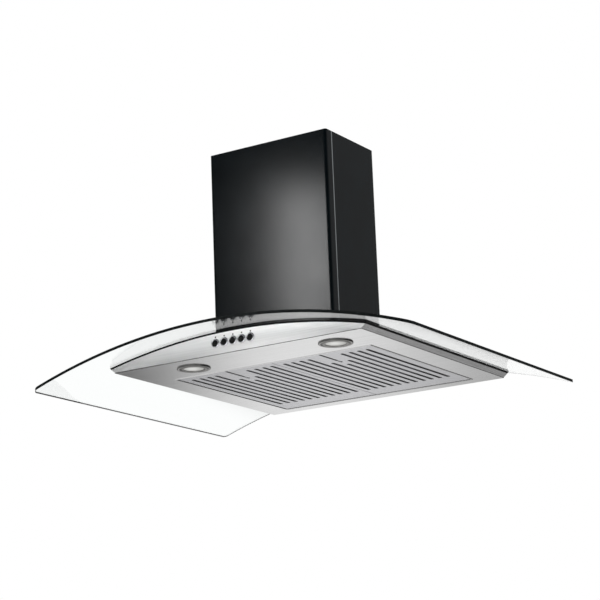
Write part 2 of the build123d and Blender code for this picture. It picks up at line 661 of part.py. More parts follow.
# ---------------------------------------------------------------- controls
# Five round push buttons in bright bezels; a spring behind each plunger in the switch block returns it.
face = body_front
panel_back = body_front + sheet
counterbore_depth = 3.6
cap_rear = face + sheet
plunger_end = cap_rear + plunger_length
spring_end = plunger_end + spring_length
block_half = button_xs[-1] + block_margin
switch = block(-block_half, block_half, panel_back, panel_back + block_depth, button_height - block_below,
               button_height + block_above)
bezels, indicators = [], []
for number, x in enumerate(button_xs, 1):
    z = button_height
    sleeve = along_y(x, z, face - bezel_proud, panel_back + counterbore_depth - 0.4, bezel_sleeve_radius)
    rim = along_y(x, z, face - bezel_proud, face, bezel_radius)
    rim = chamfer(rim.edges().filter_by(GeomType.CIRCLE).sort_by(Axis.Y)[0], bezel_chamfer)
    bezel = rim + sleeve - along_y(x, z, face - 5, panel_back + 10, button_radius + bezel_gap)
    bezels.append(bezel)
    button = along_y(x, z, face - button_proud, cap_rear, button_radius)
    button = fillet(button.edges().filter_by(GeomType.CIRCLE).sort_by(Axis.Y)[0], 1.0)
    button = button + along_y(x, z, cap_rear, plunger_end, plunger_radius)
    save(f"button_{number}", button)
    switch = switch - along_y(x, z, panel_back - 1, panel_back + counterbore_depth, bezel_sleeve_radius + hole_clearance)
    switch = switch - along_y(x, z, panel_back, spring_end, plunger_radius + plunger_clearance)
    switch = switch - along_y(x, z + indicator_rise, panel_back - 1, panel_back + 6, indicator_radius + hole_clearance)
    indicators.append(along_y(x, z + indicator_rise, face - 0.8, panel_back + 5.8, indicator_radius))
    path = Helix(pitch=2.2, height=spring_length - 2 * spring_wire - 0.1, radius=spring_radius)
    wire = sweep(Plane(origin=path @ 0, z_dir=path % 0) * Circle(spring_wire), path=path)
    save(f"button_spring_{number}", Pos(x, plunger_end + spring_wire + 0.05, z) * Rot(-90, 0, 0) * wire)
save("switch_block", switch)
save("button_bezels", bezels)
save("indicator_lenses", indicators)

# ---------------------------------------------------------------- lamps
# Round downlights pushed up through the bottom sheet: trim ring with a cup, frosted lens, lamp module.
rings, lenses, modules = [], [], []
for name, x in lamp_xs.items():
    r = lamp_ring_radius
    cup = lamp_cup_radius
    lens_r = lamp_lens_radius
    groove_z, seat_z = -lamp_proud + lamp_groove, -lamp_proud + lens_lip
    lens_z1 = seat_z + lamp_lens_thickness
    profile = [(cup, 0), (r, 0), (r, -lamp_edge), (r - 1, -lamp_proud), (r - 4.2, -lamp_proud), (r - 5, groove_z),
               (r - 7.2, groove_z), (r - 8, -lamp_proud), (lens_r - 1, -lamp_proud), (lens_r - 1.4, seat_z),
               (lens_r + 0.2, seat_z), (lens_r + 0.2, lens_z1), (cup - lamp_wall, lens_z1 + lamp_wall),
               (cup - lamp_wall, lamp_cup_height - lamp_wall), (0, lamp_cup_height - lamp_wall),
               (0, lamp_cup_height), (cup, lamp_cup_height)]
    outline = make_face(Polyline([(px, 0, pz) for px, pz in profile], close=True))
    housing = Pos(x, lamp_y, 0) * revolve(outline, Axis.Z)
    inner_side = 1 if name == "left" else -1
    x0, x1 = sorted((x + inner_side * (cup - 4), x + inner_side * (cup + 4)))
    rings.append(housing - along_x(lamp_y, lamp_lead_height, x0, x1, lead_radius + 0.2))
    lenses.append(upright(x, lamp_y, seat_z, lens_z1, lens_r))
    module_top = lamp_cup_height - lamp_wall
    module = upright(x, lamp_y, module_top - 3, module_top, cup - lamp_wall - 3)
    for i in range(6):
        a = math.radians(60 * i)
        module = module + block(x + 13 * math.cos(a) - 2, x + 13 * math.cos(a) + 2, lamp_y + 13 * math.sin(a) - 2,
                                lamp_y + 13 * math.sin(a) + 2, module_top - 4.2, module_top - 3)
    modules.append(module)
save("lamp_rings", rings)
save("lamp_lenses", lenses)
save("lamp_modules", modules)
clips = []
clip_y0 = lamp_y + clip_offset
for x in lamp_xs.values():
    for side in (-1, 1):
        x0, x1 = sorted((x + side * (lamp_cup_radius - clip_sheet), x + side * (lamp_cup_radius + clip_sheet)))
        clip = block(x0, x1, clip_y0, clip_y0 + clip_width, sheet, sheet + clip_height)
        x0, x1 = sorted((x + side * lamp_cup_radius, x + side * (lamp_cup_radius + clip_foot)))
        clip = clip + block(x0, x1, clip_y0, clip_y0 + clip_width, sheet, sheet + clip_sheet)
        clips.append(clip - upright(x, lamp_y, 0, lamp_cup_height, lamp_cup_radius))
save("lamp_clips", clips)

# ---------------------------------------------------------------- filters
# Two cassettes side by side. Each hangs on hooks over the rear edge of the opening and swings down at the
# front once its spring latch is pulled back with a finger in the long middle slot.
tray_y0 = opening_y0 + filter_gap
tray_y1 = opening_y1 - filter_rear_gap
pivot_y = opening_y1 - pivot_inset
pivot_z = sheet + seat_gap + pivot_radius
slots_y0 = tray_y0 + slot_front_margin
slots_y1 = slots_y0 + slot_length
for name, side in (("left", -1), ("right", 1)):
    x_in, x_out = side * filter_gap / 2, side * (opening_width / 2 - filter_gap)
    x0, x1 = sorted((x_in, x_out))
    tray = block(x0, x1, tray_y0, tray_y1, 0, filter_height)
    tray = tray - block(x0 + filter_sheet, x1 - filter_sheet, tray_y0 + filter_sheet, tray_y1 - filter_sheet,
                        filter_sheet, filter_height + 1)
    slot_xs = [side * (slot_inner_offset + i * slot_pitch) for i in range(slot_columns)]
    middle = (slot_columns - 1) // 2
    centre = slot_xs[middle]
    for i, x in enumerate(slot_xs):
        late = {middle: middle_slot_late, middle - 1: side_slots_late, middle + 1: side_slots_late}.get(i, 0)
        tray = tray - slot(x, slots_y0 + late, slots_y1, slot_width, -1, filter_sheet + 1)
    tray = tray - slot(centre, tray_y0 + 2, tray_y0 + 2 + finger_slot_length, finger_slot_width, -1, filter_sheet + 1)
    window = block(centre - latch_width / 2 - 0.5, centre + latch_width / 2 + 0.5, tray_y0 - 1, tray_y0 + 2,
                   filter_sheet, filter_sheet + 0.2 + latch_thickness + 0.6)
    tray = tray - window
    for x in (x0 + 40, x1 - 40):
        hx0, hx1 = x - hook_width / 2, x + hook_width / 2
        tray = tray + block(hx0, hx1, tray_y1 - filter_sheet, pivot_y, pivot_z - 0.5, pivot_z + 0.5)
        tray = tray + along_x(pivot_y, pivot_z, hx0, hx1, pivot_radius)
        tray = tray + block(hx0, hx1, pivot_y, pivot_y + hook_reach, pivot_z - hook_thickness / 2,
                            pivot_z + hook_thickness / 2)
    for gx in (centre - latch_width / 2 - 2, centre + latch_width / 2 + 0.5):
        tray = tray + block(gx, gx + 1.5, tray_y0 + 6, tray_y0 + 66, filter_sheet, filter_sheet + 5)
    tongue_tip = opening_y0 + latch_gap
    spring_y0 = tongue_tip + latch_length
    spring_y1 = spring_y0 + latch_spring_length
    tray = tray + block(centre - 6, centre + 6, spring_y1, spring_y1 + 1.5, filter_sheet, filter_height - 1)
    save(f"filter_tray_{name}", tray)

    mesh = block(x0 + filter_sheet + mesh_clearance, x1 - filter_sheet - mesh_clearance, slots_y0 - mesh_cover,
                 tray_y1 - filter_sheet - mesh_clearance, filter_sheet, filter_sheet + mesh_thickness)
    mesh = mesh - block(centre - latch_width / 2 - 3, centre + latch_width / 2 + 3, tray_y0,
                        tray_y0 + latch_length + latch_travel + latch_spring_length + 4, 0, 20)
    save(f"filter_mesh_{name}", mesh)

    latch_z0 = filter_sheet + 0.2
    latch = block(centre - latch_width / 2, centre + latch_width / 2, tongue_tip, tongue_tip + latch_length,
                  latch_z0, latch_z0 + latch_thickness)
    tab_y1 = tray_y0 + 2 + finger_slot_length - latch_travel - finger_slot_width / 4
    latch = latch + block(centre - finger_slot_width / 2 + 0.8, centre + finger_slot_width / 2 - 0.8,
                          tab_y1 - latch_tab_length, tab_y1, 0.2, latch_z0)
    latch = latch + block(centre - 4, centre + 4, tongue_tip + latch_length - 3, tongue_tip + latch_length,
                          latch_z0, latch_z0 + 6)
    save(f"filter_latch_{name}", latch)
    coil_height = latch_spring_length - 2 * latch_spring_wire - 0.1
    path = Helix(pitch=2.6, height=coil_height, radius=latch_spring_radius)
    wire = sweep(Plane(origin=path @ 0, z_dir=path % 0) * Circle(latch_spring_wire), path=path)
    coil_z = latch_z0 + latch_spring_radius + latch_spring_wire + 0.2
    save(f"latch_spring_{name}", Pos(centre, spring_y0 + latch_spring_wire + 0.05, coil_z) * Rot(-90, 0, 0) * wire)

# ---------------------------------------------------------------- wiring
# Sheathed leads, each a run of straight lengths and bends: mains to the switches, the motor's lead and one
# lead from the switches to each lamp, passing under the roof rails.


def lead(points, radii):
    """A round sheathed lead along a path with bends of the given radii."""
    path = FilletPolyline(*points, radius=radii)
    return sweep(Plane(origin=path @ 0, z_dir=path % 0) * Circle(lead_radius), path=path)


block_rear = panel_back + block_depth
terminal_face = -jy + 30
lead_z = box_top + junction_wall + 7
main_y, motor_y = lead_hole_ys
supply = lead([(lead_hole_x, terminal_face, lead_z), (lead_hole_x, main_y, lead_z), (lead_hole_x, main_y, 84),
               (-80, main_y, 66), (-72, main_y, 30), (-60, -80, 28), (-36, -150, 27), (-36, block_rear, 27)],
              [6, 18, 10, 20, 40, 20])
rear_lane = head_y + 14
motor_lead = lead([(lead_hole_x, motor_y, box_top + junction_wall), (lead_hole_x, motor_y, 205),
                   (lead_hole_x + 4, rear_lane, 170), (blower_axis_x - 30, rear_lane, 150),
                   (blower_axis_x + 12, rear_lane, 150), (blower_axis_x + 12, head_y, 150)],
                  [18, 20, 20, 8])
leads = [supply, motor_lead]
for name, side in (("left", -1), ("right", 1)):
    x = lamp_xs[name]
    entry = x - side * (lamp_cup_radius - lamp_wall)
    out = x - side * (lamp_cup_radius + lead_bend)
    exit_y = panel_back + block_depth / 2
    exit_z = button_height - block_below + lead_exit_rise
    leads.append(lead([(side * block_half, exit_y, exit_z), (side * (block_half + 1.5 * lead_bend), exit_y, exit_z),
                       (out, lamp_y, lamp_lead_height), (entry, lamp_y, lamp_lead_height)],
                      [lead_bend, 0.85 * lead_bend]))
save("wiring", leads)
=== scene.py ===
# Curved glass range hood that hangs from a ceiling: a black sheet chimney on an arched clear glass canopy,
# with a slim stainless steel body below it. Sizes are in metres; heights go down from the suspension plate.
import math

import bmesh
import bpy
import numpy as np
from mathutils import Matrix, Vector


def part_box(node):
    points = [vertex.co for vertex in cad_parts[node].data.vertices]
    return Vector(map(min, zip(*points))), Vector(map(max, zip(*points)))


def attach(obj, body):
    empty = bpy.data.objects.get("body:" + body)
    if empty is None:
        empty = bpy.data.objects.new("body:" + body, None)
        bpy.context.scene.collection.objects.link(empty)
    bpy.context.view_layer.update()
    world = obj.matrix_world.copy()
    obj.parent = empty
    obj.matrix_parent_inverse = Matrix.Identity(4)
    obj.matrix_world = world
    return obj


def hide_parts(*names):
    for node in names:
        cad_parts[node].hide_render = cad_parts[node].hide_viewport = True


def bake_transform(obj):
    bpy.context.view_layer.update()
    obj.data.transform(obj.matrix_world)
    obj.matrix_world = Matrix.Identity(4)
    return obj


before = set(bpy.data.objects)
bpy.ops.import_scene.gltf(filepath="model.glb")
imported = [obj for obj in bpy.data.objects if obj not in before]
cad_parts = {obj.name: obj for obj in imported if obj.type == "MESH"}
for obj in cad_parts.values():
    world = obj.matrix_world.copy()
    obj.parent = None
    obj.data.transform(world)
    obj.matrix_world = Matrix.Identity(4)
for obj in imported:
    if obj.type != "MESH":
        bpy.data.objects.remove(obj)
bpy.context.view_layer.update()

# ---------------------------------------------------------------- studio
# The hood hangs in a white room and is seen from in front, from the right and from below.
# A narrow soft light in front on the left shows as a dim glow in the chimney's paint. A large one stands low in
# front, and polished faces mirror the shades of the room.
camera_place = Vector((2.211029, -3.541805, -1.379605))
camera_yaw, camera_pitch, camera_roll = -0.556575, 0.249501, -0.03934
ahead = Vector((math.sin(camera_yaw) * math.cos(camera_pitch), math.cos(camera_yaw) * math.cos(camera_pitch),
                math.sin(camera_pitch)))
level = Vector((math.cos(camera_yaw), -math.sin(camera_yaw), 0.0))
above = level.cross(ahead)
across = level * math.cos(camera_roll) + above * math.sin(camera_roll)
upward = above * math.cos(camera_roll) - level * math.sin(camera_roll)
lens = bpy.data.cameras.new("camera")
lens.sensor_width = 36.0
lens.lens = 122.69
lens.clip_end = 100.0           # past the far side of the floor
camera = bpy.data.objects.new("camera", lens)
camera.matrix_world = Matrix.Translation(camera_place) @ Matrix((across, upward, -ahead)).transposed().to_4x4()
bpy.context.scene.collection.objects.link(camera)
bpy.context.scene.camera = camera
bpy.context.scene.view_settings.view_transform = "Standard"


class Value:
    """An output socket of a node tree. Sums, products and comparisons on it add Math nodes."""

    def __init__(self, tree, socket=None):
        self.tree = tree
        self.socket = socket

    def node(self, kind, inputs=None, out=0, **settings):
        """Adds a node of any kind: its settings are set first, then its sockets get values or links."""
        made = self.tree.nodes.new("ShaderNode" + kind)
        for key, value in settings.items():
            setattr(made, key, value)
        for key, value in (inputs or {}).items():
            if isinstance(value, Value):
                self.tree.links.new(value.socket, made.inputs[key])
            else:
                made.inputs[key].default_value = value
        return Value(self.tree, made.outputs[out] if made.outputs else None)

    def maths(self, operation, first, second=0.0):
        """A Math node: the operation on first and second."""
        return self.node("Math", {0: first, 1: second}, operation=operation)

    def __add__(self, other):
        return self.maths("ADD", self, other)

    def __radd__(self, other):
        return self.maths("ADD", other, self)

    def __sub__(self, other):
        return self.maths("SUBTRACT", self, other)

    def __rsub__(self, other):
        return self.maths("SUBTRACT", other, self)

    def __mul__(self, other):
        return self.maths("MULTIPLY", self, other)

    def __rmul__(self, other):
        return self.maths("MULTIPLY", other, self)

    def __gt__(self, other):
        return self.maths("GREATER_THAN", self, other)

    def __lt__(self, other):
        return self.maths("LESS_THAN", self, other)

    def ramp(self, low, high):
        """0 below low, 1 above high, with a smooth rise between."""
        return self.node("MapRange", {"Value": self, "From Min": low, "From Max": high},
                         interpolation_type="SMOOTHSTEP")

    def blend(self, first, second):
        """Colour between first, where the value is 0, and second, where it is 1."""
        return self.node("Mix", {0: self, 6: first, 7: second}, out=2, data_type="RGBA")


# The room is white to the eye. What polished faces mirror of it is a share of white that goes by direction:
# rise is 1 straight up, and westing is the angle, in radians, by which a direction turns left from straight
# back or ahead.
front_level = 0.8               # the half of the room in front of the hood
low_depth = 0.14                # how dark the low band at the back is
west_depth, east_depth = 0.74, 0.45     # its two shades
eastern_depth = 0.75            # back wall, right of the middle
upper_depth = 0.97              # upper part of the front
diffuse_level = 0.82            # what matt faces get
world = bpy.data.worlds.new("white room")
world.use_nodes = True
world.node_tree.nodes.clear()
bpy.context.scene.world = world
room = Value(world.node_tree)
direction = room.node("TexCoord", out=0)
east, north, rise = (room.node("SeparateXYZ", {"Vector": direction}, out=k) for k in range(3))
westing = room.maths("ARCTAN2", 0.0 - east, room.maths("ABSOLUTE", north))
behind = north.ramp(-0.1, 0.1)
eastern = 1.0 - westing.ramp(-0.12, 0.02)
low_band = rise.ramp(-0.46, -0.38) * (1.0 - rise.ramp(-0.05, 0.03)) * behind
west_shade = westing.ramp(0.565, 0.660) * (1.0 - westing.ramp(0.90, 1.10))
east_shade = 1.0 - westing.ramp(0.440, 0.550)
upper_shade = rise.ramp(-0.05, 0.20) * (1.0 - behind)
mirrored = ((1.0 - low_band * (low_depth + west_depth * west_shade + east_depth * east_shade))
            * (1.0 - eastern_depth * eastern * behind) * (front_level + (1.0 - front_level) * behind)
            * (1.0 - upper_depth * upper_shade))
# In front of the hood, a ray that was mirrored and then passed the glass counts as mirrored too.
was_mirrored = (room.node("LightPath", out=11) > 0.5) * (1.0 - behind)
glossy = room.maths("MAXIMUM", room.node("LightPath", out=3), was_mirrored)
seen = room.maths("MAXIMUM", room.node("LightPath", out=0), room.node("LightPath", out=6)) * (1.0 - glossy)
lit = glossy * mirrored + (1.0 - glossy) * diffuse_level
sky = room.node("Background", {"Color": (1.0, 1.0, 1.0, 1.0), "Strength": seen + (1.0 - seen) * lit})
room.node("OutputWorld", {"Surface": sky})


def area_light(name, place, target, sides, power):
    """A soft light, sides wide and high, at place and turned towards target, that no camera sees."""
    light = bpy.data.lights.new(name, "AREA")
    light.shape = "RECTANGLE"
    light.size, light.size_y = sides
    light.energy = power
    lamp = bpy.data.objects.new(name, light)
    lamp.location = place
    lamp.rotation_euler = (Vector(target) - Vector(place)).to_track_quat("-Z", "Y").to_euler()
    lamp.visible_camera = False
    bpy.context.scene.collection.objects.link(lamp)


area_light("glow light", (-0.812, -1.567, 0.215), (0.10, -0.096, -0.25), (0.15, 0.42), 2.3)
area_light("front light", (0.6, -3.4, -2.6), (0.0, 0.0, -0.4), (2.2, 2.2), 14.0)

floor_height = -5.5
floor_half = 7.0
fade_near, fade_far = 6.0, 8.0  # the floor turns into the room's white between these distances
floor_white = 0.82
floor_mesh = bpy.data.meshes.new("floor")
floor_mesh.from_pydata([(-floor_half, -floor_half, floor_height), (floor_half, -floor_half, floor_height),
                        (floor_half, floor_half, floor_height), (-floor_half, floor_half, floor_height)],
                       [], [(0, 1, 2, 3)])
floor = bpy.data.objects.new("floor", floor_mesh)
bpy.context.scene.collection.objects.link(floor)
floor_finish = bpy.data.materials.new("pale floor")
floor_finish.use_nodes = True
floor_finish.node_tree.nodes.clear()
ground = Value(floor_finish.node_tree)
distance = ground.node("VectorMath", {0: ground.node("TexCoord", out=3)}, out=1, operation="LENGTH")
seen = ground.maths("MAXIMUM", ground.node("LightPath", out=0), ground.node("LightPath", out=6))
matt = ground.node("BsdfDiffuse", {"Color": (0.93, 0.93, 0.93, 1.0)})
white = ground.node("Emission", {"Color": (1.0, 1.0, 1.0, 1.0), "Strength": 1.0})
plainness = floor_white + (1.0 - floor_white) * distance.ramp(fade_near, fade_far)
even = ground.node("MixShader", {0: seen * plainness, 1: matt, 2: white})
ground.node("OutputMaterial", {"Surface": even})
floor_mesh.materials.append(floor_finish)

# ---------------------------------------------------------------- steel body
# Folded stainless sheet, 1.2 mm, brushed along its length: a D-shaped front panel, a strip round the other
# three sides and the flat sheet underneath, with a raised lip round the filters' opening.
underside = -0.470


def new_finish(name):
    """An empty material and the value that its nodes start from."""
    finish = bpy.data.materials.new(name)
    finish.use_nodes = True
    finish.node_tree.nodes.clear()
    return finish, Value(finish.node_tree)


def dress(finish, *names):
    """Gives pieces of the frame their finish."""
    for name in names:
        slots_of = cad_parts[name].data.materials
        slots_of.clear()
        slots_of.append(finish)


def brushed(name, dark, light, roughness, grain, side_grain=None, shaded_edges=False):
    """Brushed steel: noise drawn out along the brushing, with faint clouds where the sheet was handled. With a
    side_grain, faces that look along X are brushed along Y. Where asked, the upright edges of the flat sheet
    above the underside are painted near-black: painted shade in the seams round the sheet."""
    finish, start = new_finish(name)
    place = start.node("TexCoord", out=3)
    lines = start.node("TexNoise", {"Vector": start.node("Mapping", {"Vector": place, "Scale": grain}),
                                    "Scale": 1.0, "Detail": 5.0, "Roughness": 0.65})
    if side_grain:
        other = start.node("TexNoise", {"Vector": start.node("Mapping", {"Vector": place, "Scale": side_grain}),
                                        "Scale": 1.0, "Detail": 5.0, "Roughness": 0.65})
        normal = start.node("SeparateXYZ", {"Vector": start.node("NewGeometry", out=1)}, out=0)
        side = start.maths("ABSOLUTE", normal) > 0.5
        lines = side * other + (1.0 - side) * lines
    clouds = start.node("TexNoise", {"Vector": place, "Scale": 9.0, "Detail": 3.0, "Roughness": 0.5})
    colour = (lines * 0.75 + clouds * 0.25).ramp(0.3, 0.7).blend(dark, light)
    if shaded_edges:
        normal = start.node("SeparateXYZ", {"Vector": start.node("NewGeometry", out=1)}, out=2)
        standing = start.maths("ABSOLUTE", normal) < 0.5
        height = start.node("SeparateXYZ", {"Vector": place}, out=2)
        # Painted shade: upright edge faces above the underside turn near-black.
        colour = (standing * (height > underside)).blend(colour, (0.05, 0.05, 0.05, 1.0))
    bump = start.node("Bump", {"Height": lines, "Strength": 0.10, "Distance": 0.0004})
    handled = roughness + 0.10 * (lines - 0.5) + 0.06 * (clouds - 0.5)
    metal = start.node("BsdfPrincipled", {"Base Color": colour, "Metallic": 1.0, "Normal": bump,
                                          "Roughness": handled})
    start.node("OutputMaterial", {"Surface": metal})
    return finish


along_x, along_y = (5.0, 420.0, 420.0), (420.0, 5.0, 420.0)
panel_steel = brushed("front panel steel", (0.84, 0.84, 0.84, 1.0), (0.97, 0.97, 0.97, 1.0), 0.34, along_x)
plate_steel = brushed("underside steel", (0.72, 0.72, 0.72, 1.0), (0.84, 0.84, 0.84, 1.0), 0.15, along_x,
                      shaded_edges=True)
strip_steel = brushed("side strip steel", (0.78, 0.78, 0.78, 1.0), (0.90, 0.90, 0.90, 1.0), 0.18, along_x,
                      along_y)
dress(panel_steel, "front_panel")
dress(plate_steel, "bottom_plate")
dress(strip_steel, "body_surround")

# ---------------------------------------------------------------- glass canopy
# One sheet of 6 mm toughened glass, bent to a cylinder 1.34 m in radius, with ground edges painted near-black
# as painted shade.
# It has a cut-out under the chimney and four bolt holes with soft bushes.
arch_radius = 1.342
arch_axis = underside + 0.048 - arch_radius
glass_thickness = 0.006
glass_half = 0.450
glass_front, glass_rear = -0.3255, 0.3785
front_corner, rear_corner = 0.014, 0.010
cutout_x, cutout_y = 0.090, 0.064
bolt_x, bolt_y, bolt_hole = 0.100, 0.080, 0.0044
edge_softening = 0.0007
shadow_tint = (0.45, 0.46, 0.46, 1.0)


def arch(x, radius):
    """Height of the arch of that radius above x: the axis's height plus the root of radius² - x²."""
    return arch_axis + np.sqrt(radius ** 2 - x ** 2)


def build(name, corners, faces, crease=30.0, slots=None):
    """Puts arrays of corners and faces into a mesh, joins corners that meet and shades it smooth up to the
    crease."""
    mesh = bpy.data.meshes.new(name)
    mesh.from_pydata(corners.tolist(), [], faces.tolist())
    if slots is not None:
        mesh.polygons.foreach_set("material_index", slots)
    work = bmesh.new()
    work.from_mesh(mesh)
    bmesh.ops.remove_doubles(work, verts=work.verts, dist=1e-7)
    bmesh.ops.dissolve_degenerate(work, edges=work.edges, dist=1e-8)
    work.to_mesh(mesh)
    work.free()
    mesh.shade_smooth()
    mesh.set_sharp_from_angle(angle=math.radians(crease))
    made = bpy.data.objects.new(name, mesh)
    bpy.context.scene.collection.objects.link(made)
    return made


def slab(name, x, y, low, high, keep):
    """Closed sheet over a plan grid: x[i, j], y[i, j] is the plan and low, high are the heights of its faces.
    Only the cells that keep marks are there, and walls stand on every edge that one kept cell has alone."""
    total = x.size
    index = np.arange(total).reshape(x.shape)
    cells = np.stack([index[:-1, :-1], index[1:, :-1], index[1:, 1:], index[:-1, 1:]], -1)[keep]
    edges = np.concatenate([cells[:, [k, (k + 1) % 4]] for k in range(4)])
    alone = ~np.isin(edges[:, 0] * total + edges[:, 1], edges[:, 1] * total + edges[:, 0])
    rim = edges[alone]
    walls = np.stack([rim[:, 0], rim[:, 1], rim[:, 1] + total, rim[:, 0] + total], -1)
    faces = np.concatenate([cells + total, cells[:, ::-1], walls])
    corners = np.concatenate([np.stack([x, y, low], -1).reshape(-1, 3),
                              np.stack([x, y, high], -1).reshape(-1, 3)])
    used, faces = np.unique(faces, return_inverse=True)
    slots = np.repeat([0, 1], [2 * len(cells), len(walls)])
    return build(name, corners[used], faces.reshape(-1, 4), slots=slots)


def knots(*runs):
    """Grid lines from several runs of numbers, in order and each once."""
    return np.unique(np.round(np.concatenate(runs), 7))


turn = np.linspace(0.0, math.pi / 2, 9)
middle_lines = np.linspace(0.0, glass_half - front_corner, 22)
corner_lines = glass_half - front_corner + front_corner * np.sin(turn)
tight_lines = glass_half - rear_corner + rear_corner * np.sin(turn)
special_lines = np.array([cutout_x, bolt_x - bolt_hole, bolt_x + bolt_hole])
half_lines = knots(middle_lines, corner_lines, tight_lines, special_lines)
x_lines = knots(-half_lines, half_lines)
y_lines = knots(np.linspace(glass_front, glass_rear, 30),
                np.array([s * v for s in (-1, 1) for v in (cutout_y, bolt_y - bolt_hole, bolt_y + bolt_hole)]))
front_y = glass_front + front_corner - np.sqrt(
    front_corner ** 2 - np.clip(np.abs(x_lines) - glass_half + front_corner, 0.0, front_corner) ** 2)
rear_y = glass_rear - rear_corner + np.sqrt(
    rear_corner ** 2 - np.clip(np.abs(x_lines) - glass_half + rear_corner, 0.0, rear_corner) ** 2)
share = (y_lines - glass_front) / (glass_rear - glass_front)
plan_x = np.repeat(x_lines[:, None], len(y_lines), 1)
plan_y = front_y[:, None] + share[None, :] * (rear_y - front_y)[:, None]
cell_x = (plan_x[1:, 1:] + plan_x[:-1, :-1]) / 2
cell_y = (plan_y[1:, 1:] + plan_y[:-1, :-1]) / 2
at_cutout = (np.abs(cell_x) < cutout_x) & (np.abs(cell_y) < cutout_y)
at_bolt = (np.abs(np.abs(cell_x) - bolt_x) < bolt_hole) & (np.abs(np.abs(cell_y) - bolt_y) < bolt_hole)
glass = slab("glass_canopy_sheet", plan_x, plan_y, arch(plan_x, arch_radius),
             arch(plan_x, arch_radius + glass_thickness), ~(at_cutout | at_bolt))
soft_edge = glass.modifiers.new("ground edge", "BEVEL")
soft_edge.width = edge_softening
soft_edge.segments = 2
soft_edge.limit_method = "ANGLE"
soft_edge.angle_limit = math.radians(50.0)

clear, start = new_finish("clear glass")
sheet_glass = start.node("BsdfPrincipled", {"Base Color": (0.975, 0.99, 0.985, 1.0), "Roughness": 0.0,
                                            "IOR": 1.5, "Transmission Weight": 1.0})
open_to_light = start.node("BsdfTransparent", {"Color": shadow_tint})
start.node("OutputMaterial", {"Surface": start.node(
    "MixShader", {0: start.node("LightPath", out=1), 1: sheet_glass, 2: open_to_light})})

ground_edge, start = new_finish("ground glass edge")
upright_marks = start.node("Mapping", {"Vector": start.node("TexCoord", out=3), "Scale": (40.0, 40.0, 900.0)})
grinding = start.node("TexNoise", {"Vector": upright_marks, "Scale": 1.0})
# The ground edge is painted near-black as painted shade; the grinding noise only varies it a little.
painted_edge_shade = grinding.ramp(0.35, 0.7).blend((0.003, 0.004, 0.004, 1.0), (0.012, 0.015, 0.015, 1.0))
start.node("OutputMaterial", {"Surface": start.node(
    "BsdfPrincipled", {"Base Color": painted_edge_shade, "Roughness": 0.2 + 0.2 * grinding, "IOR": 1.5,
                       "Specular IOR Level": 0.06})})
glass.data.materials.append(clear)
glass.data.materials.append(ground_edge)
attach(glass, "hood")
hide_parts("glass_canopy")

# ---------------------------------------------------------------- glass seal
# Black rubber strip pressed between the glass and the upper edges of the body, 4 mm high.
# The bushes round the glass bolts and the gasket under the base plate are cut from the same rubber.


def moulded(name, dark, light, roughness, grain=900.0, depth=0.0001, sheen=0.5):
    """Moulded rubber or plastic: a fine grain in the surface and slow changes of tone."""
    finish, start = new_finish(name)
    place = start.node("TexCoord", out=3)
    pores = start.node("TexNoise", {"Vector": place, "Scale": grain, "Detail": 2.0})
    clouds = start.node("TexNoise", {"Vector": place, "Scale": 30.0, "Detail": 2.0})
    bump = start.node("Bump", {"Height": pores, "Strength": 0.25, "Distance": depth})
    body = start.node("BsdfPrincipled", {"Base Color": clouds.ramp(0.3, 0.7).blend(dark, light), "Normal": bump,
                                         "Roughness": roughness + 0.12 * (pores - 0.5),
                                         "Specular IOR Level": sheen})
    start.node("OutputMaterial", {"Surface": body})
    return finish


rubber = moulded("black rubber", (0.003, 0.003, 0.003, 1.0), (0.007, 0.007, 0.007, 1.0), 0.62, sheen=0.12)
dress(rubber, "glass_seal", "glass_bushes", "base_gasket")

# ---------------------------------------------------------------- chimney
# Two sleeves of 1 mm sheet, folded with 5 mm corners and powder coated gloss black. The lower one stands on
# the glass, cut to its curve; the upper one slides up out of it to meet the ceiling.
chimney_half_x, chimney_half_y = 0.146, 0.096
chimney_sheet = 0.001
chimney_corner = 0.005
chimney_top = underside + 0.479
glass_gap = 0.0004
telescope_gap = 0.0007
upper_bottom = underside + 0.0773
upper_top = underside + 0.477


def folded_plan(half_x, half_y, radius):
    """Outline of a folded sleeve, anticlockwise from above: quarter circles of the radius at the four corners,
    joined by straight runs whose lines crowd near the folds."""
    quarter = np.linspace(0.0, math.pi / 2, 7)
    run = np.concatenate([[0.01], np.linspace(0.06, 0.94, 15), [0.99]])[:, None]
    parts = []
    for k, (sx, sy) in enumerate(((1, -1), (1, 1), (-1, 1), (-1, -1))):
        angle = quarter + (k - 1) * math.pi / 2
        fold = np.stack([sx * (half_x - radius) + radius * np.cos(angle),
                         sy * (half_y - radius) + radius * np.sin(angle)], -1)
        nx, ny = ((1, 1), (-1, 1), (-1, -1), (1, -1))[k]
        after = angle[-1]
        following = np.array([nx * (half_x - radius) + radius * math.cos(after),
                              ny * (half_y - radius) + radius * math.sin(after)])
        parts += [fold, fold[-1] + run * (following - fold[-1])]
    return np.concatenate(parts)


def skin(name, points, crease=30.0, along=False):
    """Surface through points[copy, i, j]: each face joins (i, j), (i, j + 1), (i + 1, j + 1) and (i + 1, j),
    and j closes on itself. With along, i closes on itself too. Poles become one point."""
    copies, rows, cols = points.shape[:3]
    i = np.arange(rows if along else rows - 1)[:, None]
    j = np.arange(cols)[None, :]
    steps = ((0, 0), (0, 1), (1, 1), (1, 0))
    quads = np.stack([((i + a) % rows) * cols + (j + b) % cols for a, b in steps], -1).reshape(-1, 4)
    quads = (quads[None] + (np.arange(copies) * rows * cols)[:, None, None]).reshape(-1, 4)
    return build(name, points.reshape(-1, 3), quads, crease)


